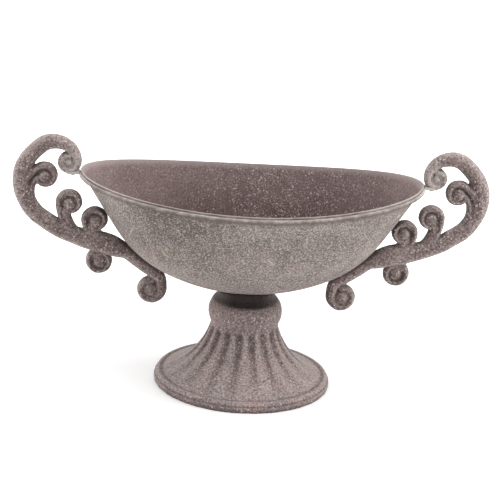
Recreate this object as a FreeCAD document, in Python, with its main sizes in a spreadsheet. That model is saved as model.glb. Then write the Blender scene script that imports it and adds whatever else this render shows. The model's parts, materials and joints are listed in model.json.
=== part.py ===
import FreeCAD, Part
import Sketcher
import math
import os
import re

from FreeCAD import Placement, Rotation, Vector

# A pedestal planter: an oval sheet-metal bowl with a rod round its rim, two cast scroll handles
# and a hollow fluted foot. The long axis is X, the front is towards -Y, and Z is up from the floor.

SIZES = {
    # Bowl: a round blank is squashed to an oval, and an arch trims its edge so that the tips rise
    "pedestal_height": 108.0,
    "bowl_length": 382.0,
    "oval_width": 226.0,
    "bowl_rise": 136.0,
    "rim_trim": 2.0,
    "tip_rise": 15.0,
    "bowl_wall": 1.6,
    "floor_reach": 0.503,
    "floor_lift": 0.163,
    "belly_reach": 0.778,
    "belly_lift": 0.503,
    # Rod round the rim, a little under the edge of the sheet
    "rim_rod": 4.4,
    "rim_lip": 1.2,
    "rim_gap": 0.05,
    # Foot: outline from the floor up, then its walls and its flutes
    "base_radius": 100.0,
    "plinth_height": 6.4,
    "plinth_step": 1.6,
    "edge_bead": 4.2,
    "skirt_radius": 91.6,
    "skirt_height": 11.0,
    "flare_radius": 80.0,
    "neck_radius": 38.6,
    "neck_height": 69.5,
    "neck_band": 3.5,
    "collar_bulge": 23.6,
    "seat_radius": 32.5,
    "collar_height": 104.0,
    "edge_wall": 5.5,
    "neck_wall": 7.0,
    "seat_wall": 5.0,
    "seat_thickness": 5.0,
    "flute_count": 18,
    "flute_depth": 3.8,
    "flute_half_width": 3.9,
    "flute_shoulder": 3.8,
    "flute_cheek": 4.1,
    "flute_start": 1.0,
    "flute_fade": 12.5,
    "flute_turn": 43.0,
    # Handle stem: each station lies out from and up from the tip of the bowl's rim
    "crown_out": 29.5,
    "crown_up": 29.5,
    "crown_bar": 17.0,
    "shoulder_out": 54.0,
    "shoulder_up": 14.5,
    "shoulder_heading": 130.0,
    "shoulder_bar": 18.6,
    "flank_out": 65.0,
    "flank_up": -14.0,
    "flank_bar": 20.0,
    "hip_out": 54.0,
    "hip_up": -46.0,
    "hip_heading": 56.0,
    "hip_bar": 20.0,
    "saddle_out": 31.0,
    "saddle_up": -65.0,
    "saddle_heading": 34.0,
    "saddle_bar": 20.0,
    "bridge_out": 0.0,
    "bridge_up": -78.5,
    "bridge_heading": 18.0,
    "bridge_bar": 21.0,
    "heel_out": -40.0,
    "heel_up": -88.4,
    "heel_heading": 23.0,
    "heel_bar": 22.8,
    # Handle seat: the stem follows the bowl's wall between two shares of its half length
    "seat_high_share": 0.665,
    "seat_high_bar": 16.6,
    "seat_low_share": 0.535,
    "seat_low_bar": 15.8,
    "seat_bite": 0.8,
    # Volutes: centres out from and up from the tip, and the bottom one from the low seat. A branch
    # leaves the stem at a share of the way between two of its stations
    "top_volute_out": 12.9,
    "top_volute_up": 7.3,
    "inner_volute_out": 39.0,
    "inner_volute_up": -9.6,
    "inner_volute_heading": 110.0,
    "inner_volute_root": 0.85,
    "inner_volute_entry": 45.0,
    "middle_volute_out": 10.8,
    "middle_volute_up": -39.0,
    "middle_volute_heading": 46.0,
    "middle_volute_root": 0.1,
    "middle_volute_entry": 0.0,
    "upper_volute_out": -18.0,
    "upper_volute_up": -57.8,
    "upper_volute_heading": 60.0,
    "upper_volute_root": 0.35,
    "upper_volute_entry": 0.0,
    "lower_volute_out": -24.2,
    "lower_volute_up": -105.0,
    "lower_volute_heading": 282.0,
    "lower_volute_root": 0.3,
    "lower_volute_entry": 0.0,
    "bottom_volute_out": 1.8,
    "bottom_volute_up": -20.8,
    "volute_ring": 12.5,
    "volute_ring_end": 9.4,
    "volute_bar": 7.4,
    "volute_bar_end": 6.0,
    "volute_eye": 17.2,
    "volute_depth": 16.0,
    "volute_depth_end": 14.6,
    "branch_bar": 14.0,
    "inner_branch_bar": 18.0,
    "top_ring": 9.4,
    "top_ring_end": 8.3,
    "top_bar": 9.6,
    "top_bar_end": 7.0,
    "top_eye": 14.0,
    "bottom_ring": 12.4,
    "bottom_ring_end": 10.6,
    "bottom_bar": 11.4,
    "bottom_bar_end": 7.6,
    "bottom_eye": 18.0,
    # Strands: each runs beside its branch and ends in the volute's eye
    "strand_bar": 16.0,
    "strand_depth": 16.4,
    "strand_bar_end": 10.4,
    "strand_depth_end": 12.4,
    "strand_turn": 80.0,
    "inner_strand_out": 50.5,
    "inner_strand_up": -42.0,
    "inner_strand_heading": 75.0,
    "inner_strand_bar": 7.0,
    "inner_strand_depth": 15.0,
    "inner_turn_out": 52.6,
    "inner_turn_up": -23.4,
    "inner_turn_heading": 97.0,
    "inner_turn_bar": 6.8,
    "inner_turn_depth": 15.0,
    "inner_eye_heading": 185.0,
    # Tongue that carries the top volute at each tip
    "tab_length": 13.5,
    "tab_width": 13.0,
    "tab_thickness": 3.2,
    "tab_drop": 2.2,
    "tab_screw": 4.0,
    "tab_screw_grip": 9.0,
    "tab_screw_out": 8.6,
    # Screws that hold a handle from inside the bowl
    "screw_low_share": 0.575,
    "screw_high_share": 0.650,
    "screw": 5.0,
    "screw_grip": 10.0,
    "seal_thickness": 1.5,
    "seal_diameter": 13.0,
    # Bolt through the bowl's floor and the foot's seat
    "bolt": 8.0,
    "bolt_length": 25.0,
    "bolt_seal": 24.0,
    "bolt_seal_thickness": 2.0,
    "bolt_washer": 20.0,
    "bolt_washer_thickness": 1.6,
    "foot_washer": 24.0,
    "foot_washer_thickness": 2.0,
    "spring_washer_thickness": 2.0,
    "spring_washer_width": 2.6,
    "spring_washer_gap": 2.0,
    "nut_width": 13.0,
    "nut_height": 6.5,
    "hole_clearance": 0.5,
    "thread_clearance": 0.1,
}

# Stations of the rod round the rim, and the tries that settle each one's height on the wall
RIM_STATIONS = 16
RIM_TRIES = 12
# Stations of a volute, the one where its inner end takes over, and how far round it winds
SPIRAL_STEPS = 5
SPIRAL_SPLIT = 3
SPIRAL_SWEEP = 290.0
# Screw and bolt heads, as shares of the thread
HEAD_WIDTH = 1.9
HEAD_EDGE = 0.25
HEAD_HEIGHT = 0.65
HEAD_DOME = HEAD_HEIGHT - HEAD_EDGE
HEAD_CROWN = (HEAD_WIDTH ** 2 / 4 + HEAD_DOME ** 2) / (2 * HEAD_DOME)

doc = FreeCAD.newDocument("planter")


def make_sheet():
    """Write every driving size into a spreadsheet cell of its own."""
    cells = doc.addObject("Spreadsheet::Sheet", "Sizes")
    for row, (alias, value) in enumerate(SIZES.items(), start=1):
        cells.set(f"A{row}", alias.replace("_", " "))
        cells.set(f"B{row}", str(value))
        cells.setAlias(f"B{row}", alias)
    doc.recompute()
    return cells


sheet = make_sheet()


def size(text):
    """The number that an expression of sizes comes to."""
    return float(sheet.evalExpression(text))


def tied(text):
    """The same expression as other objects of the document write it."""
    return re.sub(r"[a-z_]+", lambda word: "Sizes." + word[0] if word[0] in SIZES else word[0], text)


def bind(item, **expressions):
    """Tie properties of an object to the sheet; two underscores stand for a dot."""
    for name, text in expressions.items():
        item.setExpression(name.replace("__", "."), tied(text))


def add(kind, name, **expressions):
    item = doc.addObject(kind, name)
    bind(item, **expressions)
    return item


def shape_object(name, shape):
    item = doc.addObject("Part::Feature", name)
    item.Shape = shape
    return item


def cut(name, base, *tools):
    """Take several tools away from a base, one after another."""
    for number, tool in enumerate(tools, start=1):
        last = number == len(tools)
        item = doc.addObject("Part::Cut", name if last else f"{name}_cut_{number}")
        item.Base = base
        item.Tool = tool
        base = item
    return base


def fuse(name, items):
    item = doc.addObject("Part::MultiFuse", name)
    item.Shapes = items
    item.Refine = False
    return item


def common(name, first, second):
    item = doc.addObject("Part::Common", name)
    item.Base = first
    item.Tool = second
    return item


def mirrored(name, source):
    """The left twin of a right-hand piece."""
    item = doc.addObject("Part::Mirroring", name)
    item.Source = source
    item.Normal = Vector(1, 0, 0)
    return item


# Arcs

def arc_edge(start, direction, end):
    """The arc that leaves start along direction and ends at end."""
    chord = end - start
    along = Vector(chord).normalize()
    aside = direction - along * direction.dot(along)
    if aside.Length < 1e-6:
        return Part.LineSegment(start, end).toShape()
    half_turn = math.atan2(aside.Length, direction.dot(along)) / 2
    middle = start + chord / 2 + aside.normalize() * (chord.Length / 2 * math.tan(half_turn))
    return Part.Arc(start, middle, end).toShape()


def biarc(start, start_direction, end, end_direction):
    """Two tangent arcs between two points with given directions."""
    span = end - start
    both = start_direction + end_direction
    square = 2 * (1 - start_direction.dot(end_direction))
    linear = span.dot(both)
    if square < 1e-9:
        reach = span.dot(span) / (2 * linear)
    else:
        reach = (math.sqrt(linear * linear + square * span.dot(span)) - linear) / square
    join = (start + start_direction * reach + end - end_direction * reach) / 2
    join_direction = (end - end_direction * reach - start - start_direction * reach).normalize()
    return [arc_edge(start, start_direction, join), arc_edge(join, join_direction, end)]


def arc_between(start, end, radius, side):
    """An arc of a sketch from start to end; side 1 has its centre to the left of the way."""
    chord = end - start
    left = Vector(-chord.y, chord.x, 0).normalize()
    lift = math.sqrt(radius * radius - chord.Length * chord.Length / 4)
    centre = (start + end) / 2 + left * (lift * side)
    middle = centre - left * (radius * side)
    return Part.Arc(start, middle, end)


# Sketches

def plane(body, role):
    return next(item for item in body.Origin.OriginFeatures if item.Role == role)


def new_body(name):
    return doc.addObject("PartDesign::Body", name)


def new_sketch(body, name, role):
    sketch = body.newObject("Sketcher::SketchObject", name)
    sketch.AttachmentSupport = [(plane(body, role), "")]
    sketch.MapMode = "FlatFace"
    return sketch


def name_constraint(sketch, constraint, expression):
    number = sketch.addConstraint(constraint)
    sketch.setExpression(f"Constraints[{number}]", tied(expression))


def draw_outline(sketch, corners, smooth=()):
    """Draw a closed outline. Each corner is (x, y, edge), with x and y as expressions and edge the way
    to the next corner: None for a line, (radius, side) for an arc, or an arc made beforehand. The
    edges meet smoothly at the corners whose numbers are in smooth."""
    points = [Vector(size(x), size(y), 0) for x, y, edge in corners]
    count = len(corners)
    for number, (x, y, edge) in enumerate(corners):
        start = points[number]
        end = points[(number + 1) % count]
        if edge is None:
            sketch.addGeometry(Part.LineSegment(start, end))
        elif isinstance(edge, tuple):
            sketch.addGeometry(arc_between(start, end, size(edge[0]), edge[1]))
        else:
            sketch.addGeometry(edge)
    ends = []
    for number in range(count):
        forward = (sketch.getPoint(number, 1) - points[number]).Length < 1e-4
        ends.append((1, 2) if forward else (2, 1))
    for number in range(count):
        following = (number + 1) % count
        kind = "Tangent" if following in smooth else "Coincident"
        sketch.addConstraint(Sketcher.Constraint(
            kind, number, ends[number][1], following, ends[following][0]))
    for number, (x, y, edge) in enumerate(corners):
        vertex = ends[number][0]
        for axis, kind, text, value in ((-2, "DistanceX", x, points[number].x),
                                        (-1, "DistanceY", y, points[number].y)):
            if text == "0":
                sketch.addConstraint(Sketcher.Constraint("PointOnObject", number, vertex, axis))
            else:
                name_constraint(sketch, Sketcher.Constraint(kind, -1, 1, number, vertex, value), text)
        if isinstance(edge, tuple):
            name_constraint(sketch, Sketcher.Constraint("Radius", number, size(edge[0])), edge[0])


def revolve(body, sketch, name):
    item = body.newObject("PartDesign::Revolution", name)
    item.Profile = sketch
    item.ReferenceAxis = (sketch, ["V_Axis"])
    item.Angle = 360
    return item


# Bowl

def wall_arcs():
    """The bowl's side outline as three tangent arcs from the floor up: (start, end, centre, radius),
    with a radius below zero where the wall turns outwards."""
    half, rise = size("bowl_length / 2"), size("bowl_rise")
    corners = [Vector(0, 0, 0)]
    corners.append(Vector(half * size("floor_reach"), rise * size("floor_lift"), 0))
    corners.append(Vector(half * size("belly_reach"), rise * size("belly_lift"), 0))
    corners.append(Vector(half, rise, 0))
    arcs = []
    heading = 0.0
    for start, end in zip(corners, corners[1:]):
        chord = end - start
        slope = math.atan2(chord.y, chord.x)
        radius = chord.Length / (2 * math.sin(slope - heading))
        centre = start + Vector(-math.sin(heading), math.cos(heading), 0) * radius
        arcs.append((start, end, centre, radius))
        heading = 2 * slope - heading
    return arcs


WALL_ARCS = wall_arcs()
FLOOR_HEIGHT = size("pedestal_height")
OVAL = size("oval_width / bowl_length")
TIP_HEIGHT = size("pedestal_height + bowl_rise - rim_trim")
SIDE_HEIGHT = size("pedestal_height + bowl_rise - rim_trim - tip_rise")


def wall_reach(height):
    """How far out the wall lies at a height, and its outward slope there."""
    lift = height - FLOOR_HEIGHT
    start, end, centre, radius = next(arc for arc in WALL_ARCS if lift <= arc[1].y + 1e-9)
    across = math.copysign(math.sqrt(radius * radius - (lift - centre.y) ** 2), radius)
    return centre.x + across, (centre.y - lift) / across


def wall_point(share):
    """A point of the wall in the long plane, its outward normal and its direction up the wall."""
    out = size("bowl_length / 2") * share
    start, end, centre, radius = next(arc for arc in WALL_ARCS if out <= arc[1].x)
    lift = centre.y - math.copysign(math.sqrt(radius * radius - (out - centre.x) ** 2), radius)
    normal = Vector((out - centre.x) / radius, 0, (lift - centre.y) / radius)
    return Vector(out, 0, FLOOR_HEIGHT + lift), normal, Vector(-normal.z, 0, normal.x)


def make_bowl_blank():
    """The round blank, with its edge at height zero so that it can be scaled about it."""
    body = new_body("bowl_blank")
    sketch = new_sketch(body, "bowl_side", "XZ_Plane")
    sketch.setExpression("AttachmentOffset.Base.y", tied("-bowl_rise"))
    arcs = []
    for start, end, centre, radius in WALL_ARCS:
        toward = ((start + end) / 2 - centre).normalize()
        arcs.append(Part.Arc(start, centre + toward * abs(radius), end))
    draw_outline(sketch, [
        ("0", "0", arcs[0]),
        ("bowl_length / 2 * floor_reach", "bowl_rise * floor_lift", arcs[1]),
        ("bowl_length / 2 * belly_reach", "bowl_rise * belly_lift", arcs[2]),
        ("bowl_length / 2", "bowl_rise", None),
        ("0", "bowl_rise", None),
    ], smooth=(1, 2))
    sketch.addConstraint(Sketcher.Constraint("PointOnObject", 0, 3, -2))
    revolve(body, sketch, "bowl_turn")
    return body


def make_oval(name, blank, across_x, across_y, tall):
    oval = add("Part::Scale", name, XScale=across_x, YScale=across_y, ZScale=tall,
               Placement__Base__z="pedestal_height + bowl_rise")
    oval.Base = blank
    oval.Uniform = False
    return oval


def make_rim_arch():
    """A wide cylinder across the bowl, whose underside is the line of the rim."""
    radius = "((bowl_length / 2)^2 + tip_rise^2) / (2 * tip_rise)"
    arch = add("Part::Cylinder", "rim_arch", Radius=radius, Height="2 * oval_width")
    arch.Placement = Placement(Vector(), Rotation(Vector(1, 0, 0), -90))
    bind(arch, Placement__Base__y="-oval_width",
         Placement__Base__z=f"pedestal_height + bowl_rise - rim_trim - tip_rise + {radius}")
    return arch


def rim_station(angle):
    """A point of the rod's centre line at an angle round the oval."""
    rod = size("rim_rod / 2")
    arch = size("((bowl_length / 2)^2 + tip_rise^2) / (2 * tip_rise)")
    out = size("bowl_length / 2")
    for attempt in range(RIM_TRIES):
        height = SIDE_HEIGHT + arch - math.sqrt(arch * arch - (out * math.cos(angle)) ** 2)
        height -= size("rim_lip") + rod
        out, slope = wall_reach(height)
    point = Vector(out * math.cos(angle), OVAL * out * math.sin(angle), height)
    normal = Vector(math.cos(angle), math.sin(angle) / OVAL, -slope).normalize()
    return point + normal * (rod + size("rim_gap"))


def make_rim_rod():
    nudge = 1e-4
    stations = []
    for number in range(RIM_STATIONS):
        angle = 2 * math.pi * number / RIM_STATIONS
        direction = (rim_station(angle + nudge) - rim_station(angle - nudge)).normalize()
        stations.append((rim_station(angle), direction))
    edges = []
    for number, (point, direction) in enumerate(stations):
        next_point, next_direction = stations[(number + 1) % RIM_STATIONS]
        edges += biarc(point, direction, next_point, next_direction)
    line = shape_object("rim_line", Part.Wire(edges))
    section = add("Part::Circle", "rim_section", Radius="rim_rod / 2")
    section.Placement = Placement(stations[0][0], Rotation(Vector(0, 0, 1), stations[0][1]))
    rod = doc.addObject("Part::Sweep", "rim_rod")
    rod.Sections = [section]
    rod.Spine = (line, [f"Edge{number + 1}" for number in range(len(edges))])
    rod.Solid = True
    return rod


# Foot

FLARE_LIFT = ("sqrt(flare_radius^2 / ((skirt_radius - neck_radius)^2 + (neck_height - skirt_height)^2)"
              " - 0.25)")
FLARE_OUT = f"(neck_radius + skirt_radius) / 2 + {FLARE_LIFT} * (neck_height - skirt_height)"
FLARE_UP = f"(neck_height + skirt_height) / 2 + {FLARE_LIFT} * (skirt_radius - neck_radius)"


def make_foot(bowl_outside):
    body = new_body("foot_casting")
    outline = new_sketch(body, "foot_outline", "XZ_Plane")
    hole = "(bolt + hole_clearance) / 2"
    seat_top = "pedestal_height + 2 * seat_thickness"
    draw_outline(outline, [
        ("base_radius", "0", None),
        ("base_radius", "plinth_height", None),
        ("base_radius - plinth_step", "plinth_height + plinth_step", ("edge_bead", 1)),
        ("skirt_radius", "skirt_height", ("flare_radius", -1)),
        ("neck_radius", "neck_height", None),
        ("neck_radius", "neck_height + neck_band", ("collar_bulge", 1)),
        ("seat_radius", "collar_height", None),
        ("seat_radius", seat_top, None),
        (hole, seat_top, None),
        (hole, "pedestal_height - seat_thickness", None),
        ("seat_radius - seat_wall", "pedestal_height - seat_thickness", None),
        ("neck_radius - neck_wall", "neck_height", ("flare_radius + neck_wall", 1)),
        ("base_radius - edge_wall", "skirt_height - edge_wall", None),
        ("base_radius - edge_wall", "0", None),
    ])
    revolve(body, outline, "foot_turn")

    # Each flute is turned about a level axis beside the flare, so that it runs out lower down
    flute = new_sketch(body, "flute_section", "XY_Plane")
    centre_out, centre_up = size(FLARE_OUT), size(FLARE_UP)
    to_neck = math.atan2(size("neck_height") - centre_up, size("neck_radius") - centre_out)
    start = to_neck + size("flute_start / flare_radius")
    fade = size("flute_fade")
    flute.AttachmentOffset = Placement(
        Vector(centre_out + fade * math.cos(to_neck), 0, centre_up + fade * math.sin(to_neck)),
        Rotation(Vector(0, -1, 0), math.degrees(start)))
    bottom = "flare_radius + flute_depth - flute_fade"
    draw_outline(flute, [
        (bottom, "0", ("flute_cheek", 1)),
        (f"{bottom} - flute_shoulder", "flute_half_width", None),
        (f"{bottom} - flute_shoulder", "-flute_half_width", ("flute_cheek", 1)),
    ])
    doc.recompute()
    groove = body.newObject("PartDesign::Groove", "flute")
    groove.Profile = flute
    groove.ReferenceAxis = (flute, ["V_Axis"])
    groove.Reversed = True
    bind(groove, Angle="flute_turn")
    doc.recompute()
    pattern = body.newObject("PartDesign::PolarPattern", "flutes")
    pattern.Originals = [groove]
    pattern.Axis = (plane(body, "Z_Axis"), [""])
    pattern.Angle = 360
    bind(pattern, Occurrences="flute_count")
    body.Tip = pattern
    return cut("pedestal_foot", body, bowl_outside)


# Handles

TIP = Vector(wall_reach(TIP_HEIGHT)[0], 0, TIP_HEIGHT)


def heading(degrees):
    """A direction in the long plane, counted from outwards to upwards."""
    return Vector(math.cos(math.radians(degrees)), 0, math.sin(math.radians(degrees)))


def from_tip(name):
    return TIP + Vector(size(f"{name}_out"), 0, size(f"{name}_up"))


def stem_station(name, degrees):
    """A point of the stem with its direction, its half width and its half depth."""
    half = size(f"{name}_bar / 2")
    return from_tip(name), heading(degrees), half, half


def strand_station(name):
    return (from_tip(name), heading(size(f"{name}_heading")),
            size(f"{name}_bar / 2"), size(f"{name}_depth / 2"))


def seat_station(name):
    """A point of the stem that lies against the bowl's wall."""
    point, normal, along = wall_point(size(f"{name}_share"))
    half = size(f"{name}_bar / 2")
    return point + normal * (half - size("seat_bite")), along, half, half


def spiral(centre, entry, turn, kind):
    """Stations that wind in round a centre; turn is 1 counter-clockwise and -1 clockwise."""
    stations = []
    for step in range(SPIRAL_STEPS + 1):
        share = step / SPIRAL_STEPS
        angle = entry + turn * SPIRAL_SWEEP * share
        radius = size(f"{kind}_ring * (1 - {share}) + {kind}_ring_end * {share}")
        half = size(f"({kind}_bar * (1 - {share}) + {kind}_bar_end * {share}) / 2")
        deep = size(f"(volute_depth * (1 - {share}) + volute_depth_end * {share}) / 2")
        stations.append((centre + heading(angle) * radius, heading(angle + 90 * turn), half, deep))
    return stations


def turned_back(stations):
    return [(point, direction * -1, half, deep) for point, direction, half, deep in reversed(stations)]


def oval_section(point, direction, half, deep):
    """An oval across the bar, always started from the back so that the bar doesn't twist."""
    across = Vector(0, 1, 0)
    circle = Part.makeCircle(half)
    circle.Placement = Placement(point, Rotation(across, direction.cross(across), direction, "ZXY"))
    if deep > half:
        circle = Part.Ellipse(point + across * deep, point + direction.cross(across) * half, point).toShape()
    return Part.Wire([circle])


def make_bar(name, stations):
    """An oval bar that tapers from station to station along tangent arcs."""
    edges = []
    for first, second in zip(stations, stations[1:]):
        edges += biarc(first[0], first[1], second[0], second[1])
    line = Part.Wire(edges)
    pipe = Part.BRepOffsetAPI.MakePipeShell(line)
    pipe.setBiNormalMode(Vector(0, 1, 0))
    for point, direction, half, deep in stations:
        vertex = min(line.OrderedVertexes, key=lambda item: (item.Point - point).Length)
        pipe.add(oval_section(point, direction, half, deep), vertex, False, False)
    pipe.build()
    pipe.makeSolid()
    return shape_object(name, pipe.shape())


def make_curl(name, centre, stations, diameter):
    """The inner end of a volute, which closes on the bar that it left, and the eye in its middle."""
    eye = add("Part::Sphere", f"{name}_eye", Radius=f"{diameter} / 2")
    eye.Placement.Base = centre
    return [make_bar(f"{name}_end", stations[SPIRAL_SPLIT:]), eye]


def make_scrolls():
    """The stem with its volutes, before it is fitted to the bowl."""
    low, high = seat_station("seat_low"), seat_station("seat_high")
    heel = stem_station("heel", size("heel_heading"))
    bridge = stem_station("bridge", size("bridge_heading"))
    saddle = stem_station("saddle", size("saddle_heading"))
    hip = stem_station("hip", size("hip_heading"))
    flank = stem_station("flank", 90)
    shoulder = stem_station("shoulder", size("shoulder_heading"))
    crown = stem_station("crown", 180)
    bottom_centre = low[0] + Vector(size("bottom_volute_out"), 0, size("bottom_volute_up"))
    bottom = spiral(bottom_centre, 180, 1, "bottom")
    top = spiral(from_tip("top_volute"), 180, 1, "top")
    stem = [low, high, heel, bridge, saddle, hip, flank, shoulder, crown]
    stem = turned_back(bottom[:SPIRAL_SPLIT + 1]) + stem + top[:SPIRAL_SPLIT + 1]
    pieces = [make_bar("stem", stem)]
    pieces += make_curl("bottom_volute", bottom_centre, bottom, "bottom_eye")
    pieces += make_curl("top_volute", from_tip("top_volute"), top, "top_eye")
    strand = size("strand_bar / 2"), size("strand_depth / 2")
    strand_end = size("strand_bar_end / 2"), size("strand_depth_end / 2")
    branches = (
        ("inner_volute", 1, hip, flank, "inner_branch_bar"),
        ("middle_volute", 1, bridge, saddle, "branch_bar"),
        ("upper_volute", 1, heel, bridge, "branch_bar"),
        ("lower_volute", -1, heel, bridge, "branch_bar"),
    )
    for name, turn, before, after, root_bar in branches:
        centre, rise = from_tip(name), size(f"{name}_heading")
        root = before[0] + (after[0] - before[0]) * size(f"{name}_root")
        half = size(f"{root_bar} / 2")
        begin = (root, heading(rise), half, half)
        curl = spiral(centre, size(f"{name}_entry"), turn, "volute")
        pieces.append(make_bar(f"{name}_branch", [begin] + curl[:SPIRAL_SPLIT + 1]))
        pieces += make_curl(name, centre, curl, "volute_eye")
        inward = (centre, heading(rise + turn * size("strand_turn")), *strand_end)
        way = [(root, heading(rise), *strand), inward]
        if name == "inner_volute":
            inward = (centre, heading(size("inner_eye_heading")), *strand_end)
            way = [strand_station("inner_strand"), strand_station("inner_turn"), inward]
        pieces.append(make_bar(f"{name}_strand", way))
    return fuse("scrolls", pieces)


def make_tongue(name, thickness):
    """A flat tongue at the right-hand tip, with its upper face always at the same height."""
    body = new_body(name)
    sketch = new_sketch(body, f"{name}_side", "XZ_Plane")
    root = "bowl_length / 2"
    top = "pedestal_height + bowl_rise - rim_trim - tab_drop"
    draw_outline(sketch, [
        (root, f"{top} - {thickness}", None),
        ("bowl_length / 2 + tab_length", f"{top} - {thickness}", None),
        ("bowl_length / 2 + tab_length", top, None),
        (root, top, None),
    ])
    pad = body.newObject("PartDesign::Pad", f"{name}_pad")
    pad.Profile = sketch
    pad.Midplane = True
    bind(pad, Length="tab_width")
    return body


# Fasteners

def ring(name, outer, inner, height, level):
    """A flat ring on the upright axis; every size is an expression."""
    disc = add("Part::Cylinder", f"{name}_disc", Radius=f"({outer}) / 2", Height=height,
               Placement__Base__z=level)
    bore = add("Part::Cylinder", f"{name}_bore", Radius=f"({inner}) / 2", Height=height,
               Placement__Base__z=level)
    return cut(name, disc, bore)


def across_wall(item, share, lift):
    """Set an object on the wall's normal, pointing into the bowl, from a lift outside the wall."""
    point, normal, along = wall_point(size(share))
    item.Placement = Placement(point + normal * size(lift), Rotation(Vector(0, 0, 1), normal * -1))
    return item


def wall_rod(name, share, diameter, length, lift):
    rod = add("Part::Cylinder", name, Radius=f"({diameter}) / 2", Height=length)
    return across_wall(rod, share, lift)


def make_screw(name, thread, grip):
    """A pan-head screw that stands on its point; grip is the length under its head."""
    body = new_body(name)
    sketch = new_sketch(body, f"{name}_side", "XZ_Plane")
    head = f"{thread} * {HEAD_WIDTH} / 2"
    draw_outline(sketch, [
        ("0", "0", None),
        (f"{thread} / 2", "0", None),
        (f"{thread} / 2", grip, None),
        (head, grip, None),
        (head, f"{grip} + {thread} * {HEAD_EDGE}", (f"{thread} * {HEAD_CROWN}", 1)),
        ("0", f"{grip} + {thread} * {HEAD_HEIGHT}", None),
    ])
    revolve(body, sketch, f"{name}_turn")
    return body


def group(name, items):
    item = doc.addObject("Part::Compound", name)
    item.Links = items
    return item


def hexagon(name, width, height, level):
    return add("Part::Prism", name, Circumradius=f"{width} / sqrt(3)", Height=height,
               Placement__Base__z=level)


# Assembly

FLOOR_TOP = "pedestal_height + bowl_wall"
SEAL_TOP = f"{FLOOR_TOP} + bolt_seal_thickness"
HEAD_LEVEL = f"{SEAL_TOP} + bolt_washer_thickness"
SEAT_UNDER = "pedestal_height - seat_thickness"
FOOT_WASHER_UNDER = f"{SEAT_UNDER} - foot_washer_thickness"
SPRING_UNDER = f"{FOOT_WASHER_UNDER} - spring_washer_thickness"
BOLT_HOLE = "bolt + hole_clearance"
SCREW_HOLE = "screw + hole_clearance"
SCREW_SHARES = ("screw_low_share", "screw_high_share")

blank = make_bowl_blank()
outside = make_oval("bowl_outside", blank, "1", "oval_width / bowl_length", "1")
inside = make_oval("bowl_inside", blank, "(bowl_length - 2 * bowl_wall) / bowl_length",
                   "(oval_width - 2 * bowl_wall) / bowl_length", "(bowl_rise - bowl_wall) / bowl_rise")
bowl_form = cut("bowl_form", outside, make_rim_arch())

# Handle with its tongue, screws and seals at the right-hand end
rim_rod = make_rim_rod()
tab_blank = make_tongue("tab_blank", "tab_thickness")
tab_pocket = make_tongue("tab_pocket", "4 * tab_thickness")
tab_under = "pedestal_height + bowl_rise - rim_trim - tab_drop - tab_thickness"
tab_screw = make_screw("right_tab_screw", "tab_screw", "tab_screw_grip + tab_thickness")
tab_screw.Placement = Placement(
    TIP + Vector(size("tab_screw_out"), 0, size(f"{tab_under} + tab_screw_grip + tab_thickness") - TIP.z),
    Rotation(Vector(1, 0, 0), 180))
tab_hole = add("Part::Cylinder", "tab_screw_hole", Radius="(tab_screw + thread_clearance) / 2",
               Height="tab_thickness + tab_screw_grip + thread_clearance", Placement__Base__z=tab_under)
tab_hole.Placement.Base.x = TIP.x + size("tab_screw_out")
right_tab = cut("right_rim_tab", tab_blank, rim_rod, tab_hole)

screws = []
seals = []
wall_holes = []
stem_holes = []
for share in SCREW_SHARES:
    screw = make_screw(f"{share}_screw", "screw", "screw_grip + bowl_wall + seal_thickness")
    screws.append(across_wall(screw, share, "screw_grip"))
    seal_disc = wall_rod(f"{share}_seal_disc", share, "seal_diameter", "bowl_wall + seal_thickness", "0")
    wall_holes.append(wall_rod(f"{share}_wall_hole", share, SCREW_HOLE,
                               "4 * bowl_wall + seal_thickness", "bowl_wall"))
    stem_holes.append(wall_rod(f"{share}_stem_hole", share, "screw + thread_clearance",
                               "screw_grip + thread_clearance + bowl_wall", "screw_grip + thread_clearance"))
    seal_blank = common(f"{share}_seal_blank", seal_disc, inside)
    seals.append(cut(f"{share}_seal", seal_blank, wall_holes[-1]))
right_screws = group("right_handle_screws", screws)
right_seals = group("right_screw_seals", seals)
right_handle = cut("right_handle", make_scrolls(), bowl_form, tab_pocket, tab_hole, *stem_holes)

left_handle = mirrored("left_handle", right_handle)
left_tab = mirrored("left_rim_tab", right_tab)
left_tab_screw = mirrored("left_tab_screw", tab_screw)
left_screws = mirrored("left_handle_screws", right_screws)
left_seals = mirrored("left_screw_seals", right_seals)

# Bowl with its holes, and the foot
bolt_hole = add("Part::Cylinder", "bolt_hole", Radius=f"({BOLT_HOLE}) / 2", Height="bowl_rise")
bind(bolt_hole, Placement__Base__z="pedestal_height - bowl_wall")
left_holes = [mirrored(f"left_{hole.Name}", hole) for hole in wall_holes]
bowl_wall = cut("bowl_wall", bowl_form, inside)
bowl_shell = cut("bowl_shell", bowl_wall, bolt_hole, *wall_holes, *left_holes)
foot = make_foot(outside)

# Bolt stack through the floor
shank = add("Part::Cylinder", "bolt_shank", Radius="bolt / 2", Height="bolt_length",
            Placement__Base__z=f"{HEAD_LEVEL} - bolt_length")
bolt_head = hexagon("bolt_head", "nut_width", f"bolt * {HEAD_HEIGHT}", HEAD_LEVEL)
centre_bolt = fuse("centre_bolt", [shank, bolt_head])
seal_ring = ring("bolt_seal_ring", "bolt_seal", BOLT_HOLE,
                 "bowl_wall + bolt_seal_thickness", "pedestal_height")
bolt_seal = common("bolt_seal", seal_ring, inside)
bolt_washer = ring("bolt_washer", "bolt_washer", BOLT_HOLE, "bolt_washer_thickness", SEAL_TOP)
foot_washer = ring("foot_washer", "foot_washer", BOLT_HOLE, "foot_washer_thickness", FOOT_WASHER_UNDER)
spring_ring = ring("spring_ring", f"{BOLT_HOLE} + 2 * spring_washer_width", BOLT_HOLE,
                   "spring_washer_thickness", SPRING_UNDER)
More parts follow.
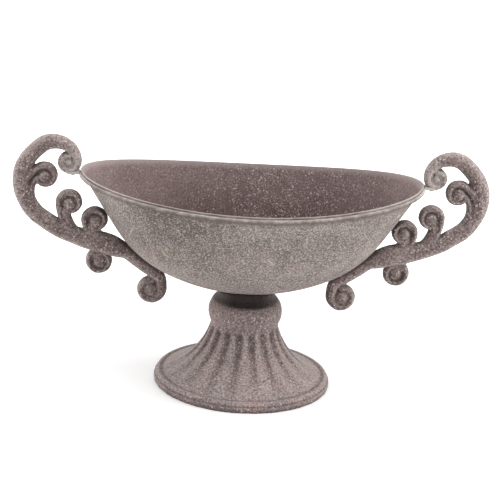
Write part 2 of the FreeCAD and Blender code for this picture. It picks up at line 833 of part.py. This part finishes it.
spring_slot = add("Part::Box", "spring_slot", Length="bolt + 2 * spring_washer_width",
                  Width="spring_washer_gap", Height="spring_washer_thickness",
                  Placement__Base__y="-spring_washer_gap / 2", Placement__Base__z=SPRING_UNDER)
spring_washer = cut("spring_washer", spring_ring, spring_slot)
NUT_UNDER = f"{SPRING_UNDER} - nut_height"
nut_blank = hexagon("nut_blank", "nut_width", "nut_height", NUT_UNDER)
nut_bore = add("Part::Cylinder", "nut_bore", Radius="(bolt + thread_clearance) / 2", Height="nut_height",
               Placement__Base__z=NUT_UNDER)
hex_nut = cut("hex_nut", nut_blank, nut_bore)

PIECES = (
    bowl_shell, rim_rod, foot,
    left_handle, right_handle, left_tab, right_tab, left_tab_screw, tab_screw,
    left_screws, right_screws, left_seals, right_seals,
    centre_bolt, bolt_seal, bolt_washer, foot_washer, spring_washer, hex_nut,
)

doc.recompute()
for item in doc.Objects:
    if "Invalid" in item.State or "Error" in item.State:
        raise RuntimeError(f"{item.Label} failed: {item.State}")
for piece in PIECES:
    if piece.Shape.isNull() or not piece.Shape.isValid():
        raise RuntimeError(f"{piece.Label} has no valid shape")

os.makedirs("parts", exist_ok=True)
for piece in PIECES:
    piece.Shape.exportStep(f"parts/{piece.Label}.step")
    print(piece.Label, len(piece.Shape.Solids), "solids", round(piece.Shape.Volume), "mm3")
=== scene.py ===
import json
import math

import bpy
from mathutils import Matrix, Vector


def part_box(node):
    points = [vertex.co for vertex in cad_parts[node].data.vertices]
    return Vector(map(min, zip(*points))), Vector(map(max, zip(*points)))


# The planter's looks: chalky antiqued metal, rough sand castings and a white studio.
# Lengths are metres in the part's own frame: X along the bowl, the front towards -Y, Z up.

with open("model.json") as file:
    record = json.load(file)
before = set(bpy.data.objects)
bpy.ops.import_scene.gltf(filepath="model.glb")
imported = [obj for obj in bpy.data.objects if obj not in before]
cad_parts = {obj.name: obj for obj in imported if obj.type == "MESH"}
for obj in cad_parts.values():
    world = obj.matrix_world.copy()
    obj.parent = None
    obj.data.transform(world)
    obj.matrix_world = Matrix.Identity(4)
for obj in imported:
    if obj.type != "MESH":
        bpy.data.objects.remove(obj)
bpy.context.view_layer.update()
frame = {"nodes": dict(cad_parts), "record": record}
NODES = frame["nodes"]

# Camera, fitted to the photograph: the image's size and the lens in pixels, the sensor in millimetres
IMAGE_SIZE = 500
LENS_PIXELS = 1878.2
SENSOR = 36.0
CAMERA_DISTANCE = 2.1
CAMERA_RISE = math.radians(18.11)
CAMERA_TURN = math.radians(-3.0)
CAMERA_ROLL = math.radians(3.43)
CAMERA_TARGET = Vector((0.0014, 0.0, 0.1562))

# Castings: the sand-cast skin rounds the corners and leaves a fine grit, cut in from the surface;
# a level is the share of the grit's height that lies inside
HANDLE_VOXEL = 0.0008
FOOT_VOXEL = 0.0013
FILLET_FACTOR = 0.5
FILLET_STEPS = 2
GRIT_SIZE = 0.009
GRIT_HEIGHT = 0.0006
HANDLE_LEVEL = 0.75
FOOT_LEVEL = 1.0

# A pair of values for a pattern says where it starts and where it is full.

# Wear, grime and painted shade on the bowl: depths under its edge, whose tips rise, with the painted
# shadow under the rod; distances from the middle where the lip and the rod are rubbed pale, a patch of
# painted shade outside and a dusty place inside, and how far the outward direction of the wall points
# down
TIP_RISE = 0.015
LIP_DEPTH = (0.0050, 0.0042)
LIP_RUB = (0.10, 0.15)
ROD_RUB = (0.176, 0.190)
ROD_SHADE = (0.0125, 0.0075)
INNER_EDGE = (0.0065, 0.0005)
SHADE_PATCH_PLACE = Vector((-0.086, -0.085, 0.212))
SHADE_PATCH_REACH = (0.075, 0.02)
DUST_PLACE = Vector((0.045, 0.09, 0.235))
DUST_REACH = (0.13, 0.04)
DUST_LEAST = 0.3
OUTWARD_FALL = -0.25

# Wear and painted shade on the castings: the rubbed spot at each tip, depths of the painted shadow in
# the crevice under the top of the foot, heights of the collar's top painted with shadow and how it fades
# to its sides, and the creases round the foot's edge, painted with shade
TIP_WEAR = 0.022
CREVICE = (0.040, 0.008)
CREVICE_POWER = 3.0
CREVICE_MOST = 0.6
COLLAR_TOP = (0.0962, 0.1000)
COLLAR_SIDES = (0.036, 0.016)
COLLAR_LEAST = 0.7
SKIRT_CREASE = 0.0916
SKIRT_WIDTH = 0.0035
STEP_CREASE = 0.0074
STEP_WIDTH = 0.0016
CREASE_MOST = 0.55

# Grime and painted shade that run out of the flutes, with painted highlights on the ridges: their
# number, the height under which it starts, the radius where it runs out, and the wave round the foot
# that is high in the grooves and low on the ridges
FLUTES = 18
FLUTE_TOP = (0.0695, 0.066)
FLUTE_RUN = (0.092, 0.064)
GROOVE_WAVE = (0.0, 1.0)
RIDGE_WAVE = (-0.2, -1.0)

# Noise values, which run from 0 to 1 round a half
DARK_GRAIN = (0.50, 0.34)
LIGHT_GRAIN = (0.52, 0.68)
DUST_GRAIN = (0.52, 0.66)
ROD_GRAIN = (0.50, 0.36)
WARM_MOTTLE = (0.50, 0.66)
DARK_MOTTLE = (0.46, 0.32)
LIP_MOTTLE = (0.34, 0.60)
DUST_MOTTLE = (0.30, 0.50)
SHEET_PATCHES = (0.40, 0.62)
INSIDE_PATCHES = (0.38, 0.62)
HANDLE_PATCHES = (0.42, 0.66)
FOOT_PATCHES = (0.42, 0.62)
ROD_WEAR = (0.42, 0.62)
ROD_DULLNESS = (0.38, 0.28)
SCRATCH_GAPS = (0.56, 0.62)
ZINC_SPANGLE = (0.35, 0.65)
RUBBER_DUST = (0.5, 0.75)

# How far a surface faces up, or outwards on the handles, for painted light, painted shade, wear and the
# flutes' grime: 1 is straight that way and -1 the other way
CAST_UP = (0.1, 1.0)
HANDLE_DOWN = (-0.3, -0.9)
HANDLE_OUT = (0.05, 0.8)
HANDLE_IN = (0.05, -0.65)
FLUTE_UP = (0.0, 0.1)
ROD_UP = (0.0, 0.7)
ROD_DOWN = (0.0, -0.6)

# Gloss of every finish, the soft sheen of the castings' rough skin, and the noise values at which the
# zinc's roughness would be 0 and 1
SPECULAR_LEVEL = 0.25
SHEEN_WEIGHT = 0.3
SHEEN_ROUGHNESS = 0.4
ZINC_ROUGHNESS = (-0.2, 2.0)

# Studio: how far out the floor turns plain white, and the lamps with their powers in watts
WHITE = (1.0, 1.0, 1.0, 1.0)
FLOOR_SIZE = 12.0
FLOOR_COLOUR = (0.88, 0.88, 0.88, 1.0)
FLOOR_ROUGHNESS = 0.9
FLOOR_WHITE = (0.25, 0.85)
FLOOR_NEAR_WHITE = 0.2
WORLD_LIGHT = 0.18
LAMPS = {
    "top_light": {"place": (0.0, 0.1, 1.5), "size": (2.2, 2.2), "power": 42.0},
    "left_light": {"place": (-1.3, 0.35, 0.22), "size": (0.9, 0.4), "power": 7.0},
    "right_light": {"place": (1.3, -0.2, 1.0), "size": (0.9, 1.0), "power": 12.0},
    "front_light": {"place": (0.4, -1.7, 0.14), "size": (1.8, 0.25), "power": 5.0},
}


def srgb(red, green, blue):
    """A colour given as 0 to 255 in display values, as the shaders' linear colour."""
    shares = (value / 255 for value in (red, green, blue))
    linear = (s / 12.92 if s <= 0.04045 else ((s + 0.055) / 1.055) ** 2.4 for s in shares)
    return (*linear, 1.0)


# Colours of the bowl's outside
SHEET = srgb(136, 126, 122)
SHEET_PALE = srgb(160, 149, 145)
# Painted shade for a patch on the upper left of the outside
SHEET_PAINTED_SHADE = srgb(100, 91, 88)
SHEET_WARM = srgb(158, 141, 131)
SHEET_DULL = srgb(112, 103, 99)
SHEET_PITS = srgb(84, 74, 70)
SHEET_CHALK = srgb(214, 206, 201)
# Painted shade in the outside's hollows
SHEET_HOLLOW_SHADE = srgb(74, 65, 61)
PALE_SCRATCH = srgb(214, 206, 200)
DARK_SCRATCH = srgb(84, 76, 72)
LIP = srgb(146, 135, 130)
LIP_PALE = srgb(192, 181, 176)
LIP_BARE = srgb(230, 221, 217)

# Colours of the bowl's inside
INSIDE = srgb(88, 70, 69)
INSIDE_PALE = srgb(104, 86, 84)
INSIDE_HIGH = srgb(158, 141, 139)
INSIDE_PITS = srgb(70, 56, 55)
# Painted shade in the inside's hollows
INSIDE_HOLLOW_SHADE = srgb(64, 52, 51)
INSIDE_EDGE = srgb(172, 161, 158)
DUST = srgb(190, 177, 174)
SALT = srgb(214, 205, 202)

# Colours of the rod and the tongues
ROD = srgb(122, 111, 106)
ROD_PALE = srgb(160, 150, 145)
ROD_PITS = srgb(110, 98, 94)
ROD_DULL = srgb(112, 102, 97)
# Painted light on top of the rod
ROD_PAINTED_LIGHT = srgb(206, 197, 192)
# Painted shade under the rod, on the wall and on the rod's underside
ROD_PAINTED_SHADE = srgb(92, 83, 79)
ROD_BARE = srgb(222, 213, 208)

# Colours of the castings
HANDLE = srgb(118, 102, 100)
HANDLE_PALE = srgb(138, 122, 119)
# Dark grain and patina, and painted shade
HANDLE_DARK_AND_PAINTED_SHADE = srgb(74, 60, 57)
# Pale grain and wear, and painted light
HANDLE_PALE_AND_PAINTED_LIGHT = srgb(186, 174, 169)
HANDLE_BARE = srgb(206, 196, 192)
FOOT = srgb(134, 120, 119)
FOOT_PINK = srgb(157, 134, 130)
# Dark grain, patina and grime, and painted shade
FOOT_DARK_AND_PAINTED_SHADE = srgb(84, 70, 68)
# Pale grain and wear, and painted highlights
FOOT_PALE_AND_PAINTED_LIGHT = srgb(192, 180, 176)
CAST_SPECKS = srgb(218, 208, 204)
# Painted shadow and shade on the foot
CAST_PAINTED_SHADE = srgb(28, 20, 20)

# Colours of the fasteners and seals
ZINC = srgb(104, 102, 99)
ZINC_PALE = srgb(136, 134, 130)
RUBBER = srgb(26, 26, 26)
RUBBER_DUSTY = srgb(58, 55, 53)


class Paint:
    """One procedural material. Pattern sizes are metres in the part's frame."""

    def __init__(self, name):
        self.material = bpy.data.materials.new(name)
        self.material.use_nodes = True
        self.tree = self.material.node_tree
        self.shader = self.tree.nodes["Principled BSDF"]
        self.place = self.add("ShaderNodeTexCoord").outputs["Object"]
        self.geometry = self.add("ShaderNodeNewGeometry")

    def add(self, kind, **inputs):
        """A node, with its inputs set from values or linked from other nodes' outputs."""
        item = self.tree.nodes.new(kind)
        for name, value in inputs.items():
            self.set(item.inputs[name.replace("_", " ")], value)
        return item

    def set(self, socket, value):
        """Set an input to a value, or link it from another node's output."""
        if isinstance(value, bpy.types.NodeSocket):
            self.tree.links.new(value, socket)
        else:
            socket.default_value = value

    def math(self, operation, first, second=0.0):
        """The value of a sum on one or two numbers."""
        item = self.tree.nodes.new("ShaderNodeMath")
        item.operation = operation
        self.set(item.inputs[0], first)
        self.set(item.inputs[1], second)
        return item.outputs["Value"]

    def vector(self, operation, first, *others):
        """The node of a sum on one or more vectors."""
        item = self.tree.nodes.new("ShaderNodeVectorMath")
        item.operation = operation
        for socket, value in zip(item.inputs, (first, *others)):
            self.set(socket, value)
        return item

    # Shares, from 0 to 1

    def between(self, value, low, high, least=0.0):
        """A share that goes from 0, or another least value, at low to 1 at high."""
        item = self.add("ShaderNodeMapRange", Value=value, From_Min=low, From_Max=high, To_Min=least)
        return item.outputs["Result"]

    def near(self, value, middle, width):
        """A share that is 1 where a value has its middle, and 0 a width away from it."""
        return self.between(self.math("ABSOLUTE", self.math("SUBTRACT", value, middle)), width, 0.0)

    def both(self, first, *others):
        """The share where several patterns meet: their product."""
        for other in others:
            first = self.math("MULTIPLY", first, other)
        return first

    # Places and directions

    def along(self, axis):
        """The place along one axis."""
        return self.add("ShaderNodeSeparateXYZ", Vector=self.place).outputs[axis]

    def aside(self):
        """The distance to either side of the middle."""
        return self.math("ABSOLUTE", self.along("X"))

    def away(self, point, fold=False):
        """The distance from a point, and from its mirror image in X if folded."""
        place = self.vector("ABSOLUTE", self.place).outputs["Vector"] if fold else self.place
        return self.vector("DISTANCE", place, point).outputs["Value"]

    def facing(self, axis):
        """How far the surface faces along one axis."""
        return self.add("ShaderNodeSeparateXYZ", Vector=self.geometry.outputs["Normal"]).outputs[axis]

    def hollows(self, distance, low, high):
        """A share that grows where the surface is shut in by its own shape."""
        shut = self.add("ShaderNodeAmbientOcclusion", Distance=distance)
        return self.between(shut.outputs["AO"], low, high)

    # Patterns

    def noise(self, size, detail, rough=0.5):
        """Cloudy noise of a feature size."""
        item = self.add("ShaderNodeTexNoise", Vector=self.place, Scale=1 / size,
                        Detail=detail, Roughness=rough)
        return item.outputs["Fac"]

    def scratches(self, size, width, gap):
        """Short thin lines: pieces of a net of cell edges, with a width in cells."""
        net = self.add("ShaderNodeTexVoronoi", Vector=self.place, Scale=1 / size)
        net.feature = "DISTANCE_TO_EDGE"
        line = self.between(net.outputs["Distance"], width, 0.0)
        return self.both(line, self.between(self.noise(gap, detail=2.0), *SCRATCH_GAPS))

    def specks(self, size, share, radius):
        """Round specks: a share of the cells hold one, with a radius in cells."""
        cells = self.add("ShaderNodeTexVoronoi", Vector=self.place, Scale=1 / size)
        chosen = self.add("ShaderNodeSeparateColor", Color=cells.outputs["Color"]).outputs["Red"]
        chosen = self.math("LESS_THAN", chosen, share)
        return self.both(chosen, self.between(cells.outputs["Distance"], radius, radius / 2))

    # Colours

    def mix(self, share, first, second):
        """Two colours mixed: all of the first at a share of 0, all of the second at 1."""
        item = self.tree.nodes.new("ShaderNodeMix")
        item.data_type = "RGBA"
        self.set(item.inputs["Factor"], share)
        self.set(item.inputs["A"], first)
        self.set(item.inputs["B"], second)
        return item.outputs["Result"]

    def coat(self, under, over, share, most):
        """One colour laid over another by a share, and never more strongly than most."""
        return self.mix(self.both(share, most), under, over)

    def finish(self, colour, roughness, height, bump, depth):
        """The material with its colour, and with a height pattern as bumps of a strength and depth."""
        self.set(self.shader.inputs["Base Color"], colour)
        self.set(self.shader.inputs["Roughness"], roughness)
        self.shader.inputs["Specular IOR Level"].default_value = SPECULAR_LEVEL
        bumped = self.add("ShaderNodeBump", Strength=bump, Distance=depth, Height=height)
        self.set(self.shader.inputs["Normal"], bumped.outputs["Normal"])
        return self.material


# Materials

def bowl_paint():
    """Chalky paint on sheet metal: grey-brown and scratched outside, darker and specked inside."""
    paint = Paint("bowl_sheet_paint")

    # A face is inside where it points against the oval wall's outward direction
    low, high = (Vector(corner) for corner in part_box("bowl_shell"))
    reach = high - (low + high) / 2
    spread = paint.add("ShaderNodeMapping", Vector=paint.place, Location=(0.0, 0.0, OUTWARD_FALL),
                       Scale=(1 / reach.x, reach.x / reach.y ** 2, 0.0))
    normal = paint.geometry.outputs["True Normal"]
    outward = paint.vector("DOT_PRODUCT", spread.outputs["Vector"], normal)
    inside = paint.math("LESS_THAN", outward.outputs["Value"], 0.0)

    # Depth under the edge, which rises towards the tips
    swell = paint.math("POWER", paint.math("DIVIDE", paint.along("X"), reach.x), 2.0)
    edge = paint.math("ADD", paint.math("MULTIPLY", swell, TIP_RISE), high.z - TIP_RISE)
    depth = paint.math("SUBTRACT", edge, paint.along("Z"))

    grain = paint.noise(size=0.0017, detail=3.0, rough=0.6)
    mottle = paint.noise(size=0.014, detail=4.0)
    patches = paint.noise(size=0.05, detail=3.0)
    # Where the surface is shut in, for painted shade in the hollows
    shut = paint.hollows(distance=0.006, low=0.9, high=0.5)
    pits = paint.between(grain, *DARK_GRAIN)

    # Outside
    outer = paint.mix(paint.between(patches, *SHEET_PATCHES), SHEET, SHEET_PALE)
    # A patch of painted shade on the upper left of the outside
    shade_patch = paint.between(paint.away(SHADE_PATCH_PLACE), *SHADE_PATCH_REACH)
    outer = paint.coat(outer, SHEET_PAINTED_SHADE, shade_patch, most=0.75)
    outer = paint.coat(outer, SHEET_WARM, paint.between(mottle, *WARM_MOTTLE), most=0.5)
    outer = paint.coat(outer, SHEET_DULL, paint.between(mottle, *DARK_MOTTLE), most=0.4)
    outer = paint.coat(outer, SHEET_PITS, pits, most=0.8)
    outer = paint.coat(outer, SHEET_CHALK, paint.between(grain, *LIGHT_GRAIN), most=0.7)
    outer = paint.coat(outer, PALE_SCRATCH, paint.scratches(size=0.045, width=0.022, gap=0.03), most=0.5)
    outer = paint.coat(outer, DARK_SCRATCH, paint.scratches(size=0.06, width=0.02, gap=0.02), most=0.6)
    # Painted shadow on the wall just under the rod
    outer = paint.coat(outer, ROD_PAINTED_SHADE, paint.between(depth, *ROD_SHADE), most=0.65)
    # Painted shade in the outside's hollows
    outer = paint.coat(outer, SHEET_HOLLOW_SHADE, shut, most=0.6)
    worn = paint.mix(paint.between(mottle, *LIP_MOTTLE), LIP, LIP_PALE)
    worn = paint.coat(worn, LIP_BARE, paint.between(paint.aside(), *LIP_RUB), most=0.6)
    outer = paint.coat(outer, worn, paint.between(depth, *LIP_DEPTH), most=0.9)

    # Inside
    inner = paint.mix(paint.between(patches, *INSIDE_PATCHES), INSIDE, INSIDE_PALE)
    high_up = paint.between(paint.along("Z"), low.z + reach.z, high.z)
    inner = paint.coat(inner, INSIDE_HIGH, high_up, most=0.53)
    inner = paint.coat(inner, INSIDE_PITS, pits, most=0.6)
    dusty = paint.between(paint.away(DUST_PLACE), *DUST_REACH, DUST_LEAST)
    dusty = paint.both(paint.between(mottle, *DUST_MOTTLE), dusty)
    inner = paint.coat(inner, DUST, paint.both(paint.between(grain, *DUST_GRAIN), dusty), most=0.7)
    salt = paint.specks(size=0.0036, share=0.5, radius=0.3)
    inner = paint.coat(inner, SALT, paint.both(salt, dusty), most=0.85)
    # Painted shade in the inside's hollows
    inner = paint.coat(inner, INSIDE_HOLLOW_SHADE, shut, most=0.6)
    inner = paint.coat(inner, INSIDE_EDGE, paint.between(depth, *INNER_EDGE), most=0.65)

    colour = paint.mix(inside, outer, inner)
    return paint.finish(colour, roughness=0.82, height=grain, bump=0.45, depth=0.0006)


def cast_paint(paint, colour, dark, light, painted_shade=None):
    """An antiqued casting over a base colour: grainy, with dark patina and painted shade in its hollows,
    rubbed pale and painted light on top, and any painted shade it is given.
    """
    grain = paint.noise(size=0.0021, detail=3.0, rough=0.6)
    # Paler on top: rubbed wear, and painted light
    colour = paint.coat(colour, light, paint.between(paint.facing("Z"), *CAST_UP), most=0.35)
    colour = paint.coat(colour, dark, paint.between(grain, *DARK_GRAIN), most=0.8)
    colour = paint.coat(colour, light, paint.between(grain, *LIGHT_GRAIN), most=0.7)
    # Dark patina and painted shade in the hollows
    colour = paint.coat(colour, dark, paint.hollows(distance=0.008, low=0.92, high=0.5), most=0.8)
    specks = paint.specks(size=0.004, share=0.45, radius=0.28)
    colour = paint.coat(colour, CAST_SPECKS, specks, most=0.75)
    # Any painted shadow and shade given, laid over the rest
    if painted_shade:
        colour = paint.coat(colour, CAST_PAINTED_SHADE, painted_shade, most=0.95)
    paint.shader.inputs["Sheen Weight"].default_value = SHEEN_WEIGHT
    paint.shader.inputs["Sheen Roughness"].default_value = SHEEN_ROUGHNESS
    return paint.finish(colour, roughness=0.86, height=grain, bump=0.5, depth=0.0008)


def handle_paint():
    """The handles' casting, with painted light on the sides facing out and underneath, rubbed pale at
    the bowl's tips, and painted shade on the sides facing the bowl.
    """
    paint = Paint("handle_casting_paint")
    patches = paint.noise(size=0.03, detail=3.0)
    colour = paint.mix(paint.between(patches, *HANDLE_PATCHES), HANDLE, HANDLE_PALE)
    outward = paint.math("MULTIPLY", paint.facing("X"), paint.math("SIGN", paint.along("X")))
    # Painted light on the sides facing out
    colour = paint.coat(colour, HANDLE_PALE_AND_PAINTED_LIGHT, paint.between(outward, *HANDLE_OUT), most=0.6)
    # Painted shade on the sides facing the bowl
    colour = paint.coat(colour, HANDLE_DARK_AND_PAINTED_SHADE, paint.between(outward, *HANDLE_IN), most=0.6)
    # Painted light underneath, where the floor throws light back
    colour = paint.coat(colour, HANDLE_PALE_AND_PAINTED_LIGHT, paint.between(paint.facing("Z"), *HANDLE_DOWN), most=0.4)
    low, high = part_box("right_rim_tab")
    tip = Vector(((low[0] + high[0]) / 2, 0.0, high[2] + TIP_WEAR / 2))
    worn = paint.between(paint.away(tip, fold=True), TIP_WEAR, TIP_WEAR / 2)
    colour = paint.coat(colour, HANDLE_BARE, worn, most=0.5)
    return cast_paint(paint, colour, HANDLE_DARK_AND_PAINTED_SHADE, HANDLE_PALE_AND_PAINTED_LIGHT)


def foot_paint():
    """The foot's casting, with painted shadow under the bowl and on top of the collar, grime and painted
    shade in the grooves below the flutes, painted highlights on their ridges, and painted shade in the
    creases.
    """
    paint = Paint("foot_casting_paint")
    patches = paint.noise(size=0.05, detail=3.0)
    colour = paint.mix(paint.between(patches, *FOOT_PATCHES), FOOT, FOOT_PINK)
    height = paint.along("Z")
    across = paint.vector("MULTIPLY", paint.place, Vector((1.0, 1.0, 0.0))).outputs["Vector"]
    radius = paint.vector("LENGTH", across).outputs["Value"]

    # Grooves below the flutes darkened with washed-out grime and painted shade, and painted highlights
    # on the ridges
    turn = paint.math("ARCTAN2", paint.along("Y"), paint.along("X"))
    wave = paint.math("COSINE", paint.math("MULTIPLY", turn, FLUTES))
    fluted = paint.both(paint.between(radius, *FLUTE_RUN), paint.between(height, *FLUTE_TOP),
                        paint.between(paint.facing("Z"), *FLUTE_UP))
    groove = paint.both(paint.between(wave, *GROOVE_WAVE), fluted)
    colour = paint.coat(colour, FOOT_DARK_AND_PAINTED_SHADE, groove, most=0.75)
    ridge = paint.both(paint.between(wave, *RIDGE_WAVE), fluted)
    colour = paint.coat(colour, FOOT_PALE_AND_PAINTED_LIGHT, ridge, most=0.3)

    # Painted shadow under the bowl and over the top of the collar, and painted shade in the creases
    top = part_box("pedestal_foot")[1][2]
    crevice = paint.between(height, *(top - depth for depth in CREVICE))
    crevice = paint.both(paint.math("POWER", crevice, CREVICE_POWER), CREVICE_MOST)
    sides = paint.between(paint.aside(), *COLLAR_SIDES, COLLAR_LEAST)
    collar = paint.both(paint.between(height, *COLLAR_TOP), sides)
    skirt = paint.near(radius, SKIRT_CREASE, SKIRT_WIDTH)
    crease = paint.math("MAXIMUM", skirt, paint.near(height, STEP_CREASE, STEP_WIDTH))
    painted_shade = paint.math("MAXIMUM", crevice, collar)
    painted_shade = paint.math("MAXIMUM", painted_shade, paint.both(crease, CREASE_MOST))
    return cast_paint(paint, colour, FOOT_DARK_AND_PAINTED_SHADE, FOOT_PALE_AND_PAINTED_LIGHT, painted_shade)


def trim_paint():
    """The rod round the rim and the tongues, with painted light on top and painted shade underneath,
    rubbed pale towards the tips.
    """
    paint = Paint("rim_trim_paint")
    grain = paint.noise(size=0.003, detail=4.0, rough=0.65)
    wear = paint.noise(size=0.008, detail=3.0)
    facing_up = paint.facing("Z")
    colour = paint.mix(paint.between(wear, *ROD_WEAR), ROD, ROD_PALE)
    colour = paint.coat(colour, ROD_PITS, paint.between(grain, *ROD_GRAIN), most=0.6)
    colour = paint.coat(colour, ROD_DULL, paint.between(wear, *ROD_DULLNESS), most=0.6)
    # Painted light on top of the rod
    colour = paint.coat(colour, ROD_PAINTED_LIGHT, paint.between(facing_up, *ROD_UP), most=0.15)
    # Painted shade on the rod's underside
    colour = paint.coat(colour, ROD_PAINTED_SHADE, paint.between(facing_up, *ROD_DOWN), most=0.7)
    colour = paint.coat(colour, ROD_BARE, paint.between(paint.aside(), *ROD_RUB), most=0.6)
    return paint.finish(colour, roughness=0.75, height=grain, bump=0.45, depth=0.0006)


def zinc_paint():
    """Dull zinc plate with a fine spangle."""
    paint = Paint("zinc_plate")
    spangle = paint.noise(size=0.003, detail=2.0)
    colour = paint.mix(paint.between(spangle, *ZINC_SPANGLE), ZINC, ZINC_PALE)
    paint.shader.inputs["Metallic"].default_value = 1.0
    roughness = paint.between(spangle, *ZINC_ROUGHNESS)
    return paint.finish(colour, roughness, height=spangle, bump=0.15, depth=0.0002)


def rubber_paint():
    """Black rubber with a little dust."""
    paint = Paint("seal_rubber_paint")
    dust = paint.noise(size=0.002, detail=3.0)
    colour = paint.mix(paint.between(dust, *RUBBER_DUST), RUBBER, RUBBER_DUSTY)
    return paint.finish(colour, roughness=0.9, height=dust, bump=0.3, depth=0.0003)


def paint_nodes():
    """Give each node the paint of its material slot."""
    paints = {
        "bowl_sheet": bowl_paint(),
        "rim_trim": trim_paint(),
        "handle_casting": handle_paint(),
        "foot_casting": foot_paint(),
        "zinc_steel": zinc_paint(),
        "seal_rubber": rubber_paint(),
    }
    for entry in frame["record"]["subparts"]:
        item = NODES[entry["node"]]
        item.data.materials.clear()
        item.data.materials.append(paints[entry["material_slot"]])


# Castings

def cast_skin(name, voxel, level):
    """Round a casting's corners and junctions as sand does, and leave its surface gritty."""
    item = NODES[name]
    skin = item.modifiers.new("skin", "REMESH")
    skin.mode = "VOXEL"
    skin.voxel_size = voxel
    skin.use_smooth_shade = True
    fillets = item.modifiers.new("fillets", "SMOOTH")
    fillets.factor = FILLET_FACTOR
    fillets.iterations = FILLET_STEPS
    grit = bpy.data.textures.new(f"{name}_grit", "CLOUDS")
    grit.noise_scale = GRIT_SIZE
    rough = item.modifiers.new("grit", "DISPLACE")
    rough.texture = grit
    rough.texture_coords = "LOCAL"
    rough.strength = GRIT_HEIGHT
    rough.mid_level = level


# Studio

def seen_directly(tree):
    """1 for what the camera sees, also in gloss and through glass, and 0 for light on its way."""
    rays = tree.nodes.new("ShaderNodeLightPath")
    value = rays.outputs["Is Camera Ray"]
    for name in ("Is Glossy Ray", "Is Transmission Ray"):
        either = tree.nodes.new("ShaderNodeMath")
        either.operation = "MAXIMUM"
        tree.links.new(value, either.inputs[0])
        tree.links.new(rays.outputs[name], either.inputs[1])
        value = either.outputs["Value"]
    return value


def make_floor():
    """A pale floor that keeps the shadow near the object and is plain white further out."""
    mesh = bpy.data.meshes.new("floor")
    half = FLOOR_SIZE / 2
    corners = [(-half, -half, 0), (half, -half, 0), (half, half, 0), (-half, half, 0)]
    mesh.from_pydata(corners, [], [(0, 1, 2, 3)])
    floor = bpy.data.objects.new("floor", mesh)
    bpy.context.scene.collection.objects.link(floor)
    paint = Paint("floor_paint")
    paint.shader.inputs["Base Color"].default_value = FLOOR_COLOUR
    paint.shader.inputs["Roughness"].default_value = FLOOR_ROUGHNESS
    paint.shader.inputs["Emission Color"].default_value = WHITE
    white = paint.between(paint.away(Vector()), *FLOOR_WHITE, FLOOR_NEAR_WHITE)
    white = paint.both(white, seen_directly(paint.tree))
    paint.set(paint.shader.inputs["Emission Strength"], white)
    floor.data.materials.append(paint.material)


def make_world():
    """White to the camera and in reflections, and a plainer grey light for everything else."""
    world = bpy.data.worlds.new("studio")
    world.use_nodes = True
    bpy.context.scene.world = world
    tree = world.node_tree
    sky = tree.nodes["Background"]
    sky.inputs["Color"].default_value = WHITE
    strength = tree.nodes.new("ShaderNodeMapRange")
    tree.links.new(seen_directly(tree), strength.inputs["Value"])
    strength.inputs["To Min"].default_value = WORLD_LIGHT
    tree.links.new(strength.outputs["Result"], sky.inputs["Strength"])


def make_light(name, place, size, power):
    """A rectangular lamp that points at the middle of the picture."""
    light = bpy.data.lights.new(name, "AREA")
    light.shape = "RECTANGLE"
    light.size, light.size_y = size
    light.energy = power
    item = bpy.data.objects.new(name, light)
    item.location = place
    item.rotation_euler = (CAMERA_TARGET - Vector(place)).to_track_quat("-Z", "Y").to_euler()
    bpy.context.scene.collection.objects.link(item)


def make_camera():
    """The photograph's camera: its turn and rise round the target, and its roll."""
    rise, turn, roll = CAMERA_RISE, CAMERA_TURN, CAMERA_ROLL
    back = Vector((math.sin(turn) * math.cos(rise), -math.cos(turn) * math.cos(rise), math.sin(rise)))
    level = (-back).cross(Vector((0, 0, 1))).normalized()
    upright = level.cross(-back)
    right = level * math.cos(roll) + upright * math.sin(roll)
    up = upright * math.cos(roll) - level * math.sin(roll)
    data = bpy.data.cameras.new("camera")
    data.sensor_width = SENSOR
    data.lens = LENS_PIXELS / IMAGE_SIZE * SENSOR
    camera = bpy.data.objects.new("camera", data)
    axes = Matrix((right, up, back)).transposed().to_4x4()
    camera.matrix_world = Matrix.Translation(CAMERA_TARGET + back * CAMERA_DISTANCE) @ axes
    bpy.context.scene.collection.objects.link(camera)
    bpy.context.scene.camera = camera


paint_nodes()
cast_skin("left_handle", HANDLE_VOXEL, HANDLE_LEVEL)
cast_skin("right_handle", HANDLE_VOXEL, HANDLE_LEVEL)
cast_skin("pedestal_foot", FOOT_VOXEL, FOOT_LEVEL)

make_floor()
make_world()
for lamp_name, lamp in LAMPS.items():
    make_light(lamp_name, **lamp)
make_camera()
bpy.context.scene.view_settings.view_transform = "Standard"
